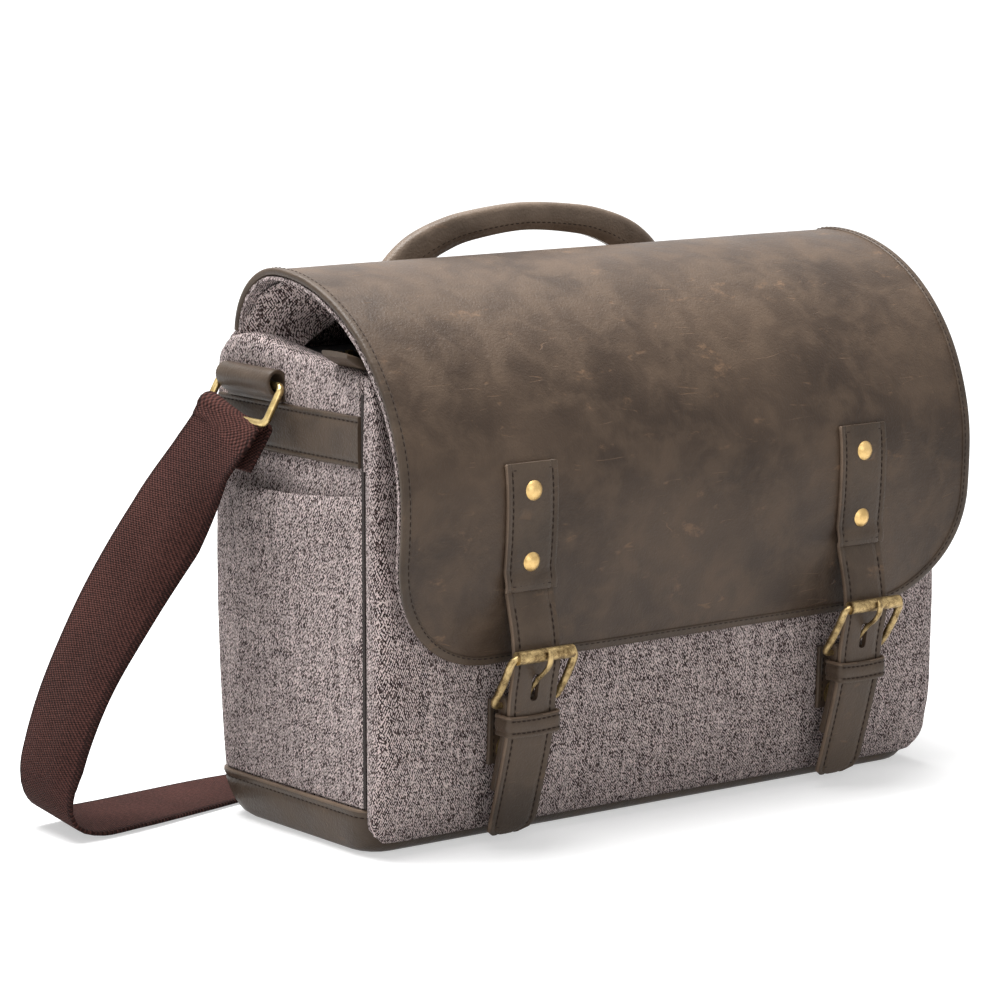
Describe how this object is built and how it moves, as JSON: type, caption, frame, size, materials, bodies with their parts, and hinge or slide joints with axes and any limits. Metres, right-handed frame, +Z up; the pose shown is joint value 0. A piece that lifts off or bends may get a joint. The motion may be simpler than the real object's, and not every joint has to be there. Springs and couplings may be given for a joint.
{
  "type": "camera messenger bag",
  "caption": "Soft camera messenger bag with padded bays, leather flap closed by buckled straps, carrying handle, side rings and webbing shoulder strap.",
  "frame": {"origin": "bottom centre of the bag's body on the surface it stands on", "axes": "+X to the bag's right, +Y to its back, +Z up; the flap faces -Y"},
  "size_m": [0.5548, 0.2452, 0.314],
  "materials": {
    "tweed": "heathered wool-look weave",
    "lining": "plain woven lining",
    "padding": "padded cloth",
    "leather": "distressed oiled leather",
    "webbing": "twill webbing",
    "antique_brass": "antique textured brass",
    "rivet_brass": "polished brass",
    "steel": "magnet snap",
    "hook_tape": "hook tape"
  },
  "bodies": {
    "bag_body": {"leather_boot": "leather", "base_board": "padding", "back_panel": "tweed", "front_wall": "tweed", "laptop_wall": "padding", "flap_hinge_strip": "leather", "left_side_wall": "tweed", "right_side_wall": "tweed", "left_side_yoke": "tweed", "right_side_yoke": "tweed", "left_side_band": "leather", "right_side_band": "leather", "left_side_pocket": "tweed", "right_side_pocket": "tweed", "left_side_ear": "tweed", "right_side_ear": "tweed", "left_ring_loop": "leather", "right_ring_loop": "leather", "front_pocket_panel": "tweed", "front_pocket_edges": "tweed", "snap_tabs": "leather", "snap_sockets": "steel", "zip_tapes": "lining", "zip_teeth": "antique_brass", "zip_end_tab": "leather", "webbing": "webbing"},
    "flap": {"flap_leather": "leather", "flap_lining": "lining", "flap_binding": "leather", "left_anchor": "leather", "right_anchor": "leather", "anchor_rivets": "rivet_brass", "handle_ends": "leather"},
    "handle": {"handle_grip": "leather"},
    "left_closing_strap": {"left_strap": "leather", "left_chape": "leather", "left_keeper": "leather", "left_snap_stud": "steel"},
    "left_buckle": {"left_buckle_frame": "antique_brass"},
    "left_roller": {"left_buckle_roller": "antique_brass"},
    "left_prong": {"left_buckle_prong": "antique_brass"},
    "left_strap_ring": {"left_ring": "antique_brass"},
    "left_divider_panel": {"left_divider": "padding", "left_divider_tapes": "hook_tape"},
    "right_closing_strap": {"right_strap": "leather", "right_chape": "leather", "right_keeper": "leather", "right_snap_stud": "steel"},
    "right_buckle": {"right_buckle_frame": "antique_brass"},
    "right_roller": {"right_buckle_roller": "antique_brass"},
    "right_prong": {"right_buckle_prong": "antique_brass"},
    "right_strap_ring": {"right_ring": "antique_brass"},
    "right_divider_panel": {"right_divider": "padding", "right_divider_tapes": "hook_tape"},
    "web_slide": {"strap_slide": "antique_brass"},
    "zip_runner": {"zip_slider": "antique_brass"},
    "zip_puller": {"zip_pull": "antique_brass"}
  },
  "joints": [
    {"name": "flap_hinge", "type": "hinge", "parent": "bag_body", "child": "flap", "pos_m": [0, 0.061, 0.2462], "axis": [-1, 0, 0], "range_deg": [0, 137]},
    {"name": "handle_fold", "type": "hinge", "parent": "flap", "child": "handle", "pos_m": [0, 0.05, 0.25882], "axis": [1, 0, 0], "range_deg": [-80, 0]},
    {"name": "left_strap_lift", "type": "hinge", "parent": "flap", "child": "left_closing_strap", "pos_m": [-0.1115, -0.0998, 0.136], "axis": [-1, 0, 0], "range_deg": [0, 60]},
    {"name": "left_buckle_tilt", "type": "hinge", "parent": "left_closing_strap", "child": "left_buckle", "pos_m": [-0.1115, -0.096, 0.076], "axis": [1, 0, 0], "range_deg": [0, 10]},
    {"name": "left_prong_swing", "type": "hinge", "parent": "left_buckle", "child": "left_prong", "pos_m": [-0.1115, -0.096, 0.076], "axis": [1, 0, 0], "range_deg": [0, 20]},
    {"name": "left_roller_spin", "type": "hinge", "parent": "left_buckle", "child": "left_roller", "pos_m": [-0.1115, -0.11315, 0.103], "axis": [1, 0, 0], "continuous": true},
    {"name": "right_strap_lift", "type": "hinge", "parent": "flap", "child": "right_closing_strap", "pos_m": [0.1115, -0.0998, 0.136], "axis": [-1, 0, 0], "range_deg": [0, 60]},
    {"name": "right_buckle_tilt", "type": "hinge", "parent": "right_closing_strap", "child": "right_buckle", "pos_m": [0.1115, -0.096, 0.076], "axis": [1, 0, 0], "range_deg": [0, 10]},
    {"name": "right_prong_swing", "type": "hinge", "parent": "right_buckle", "child": "right_prong", "pos_m": [0.1115, -0.096, 0.076], "axis": [1, 0, 0], "range_deg": [0, 20]},
    {"name": "right_roller_spin", "type": "hinge", "parent": "right_buckle", "child": "right_roller", "pos_m": [0.1115, -0.11315, 0.103], "axis": [1, 0, 0], "continuous": true},
    {"name": "left_ring_swing", "type": "hinge", "parent": "bag_body", "child": "left_strap_ring", "pos_m": [-0.1944, 0.024, 0.23315], "axis": [0, 1, 0], "range_deg": [-25, 100], "deforming": ["webbing"]},
    {"name": "right_ring_swing", "type": "hinge", "parent": "bag_body", "child": "right_strap_ring", "pos_m": [0.1944, 0.024, 0.23315], "axis": [0, -1, 0], "range_deg": [-25, 100], "deforming": ["webbing"]},
    {"name": "slide_travel", "type": "slide", "parent": "bag_body", "child": "web_slide", "axis": [0.249, 0, -0.9685], "range_m": [-0.025, 0.025]},
    {"name": "zip_travel", "type": "slide", "parent": "bag_body", "child": "zip_runner", "axis": [1, 0, 0], "range_m": [-0.3, 0]},
    {"name": "zip_pull_flip", "type": "hinge", "parent": "zip_runner", "child": "zip_puller", "pos_m": [0.15, -0.0383, 0.25063], "axis": [0, 1, 0], "range_deg": [0, 170]},
    {"name": "left_divider_shift", "type": "slide", "parent": "bag_body", "child": "left_divider_panel", "axis": [1, 0, 0], "range_m": [-0.025, 0.025]},
    {"name": "right_divider_shift", "type": "slide", "parent": "bag_body", "child": "right_divider_panel", "axis": [1, 0, 0], "range_m": [-0.025, 0.025]}
  ]
}
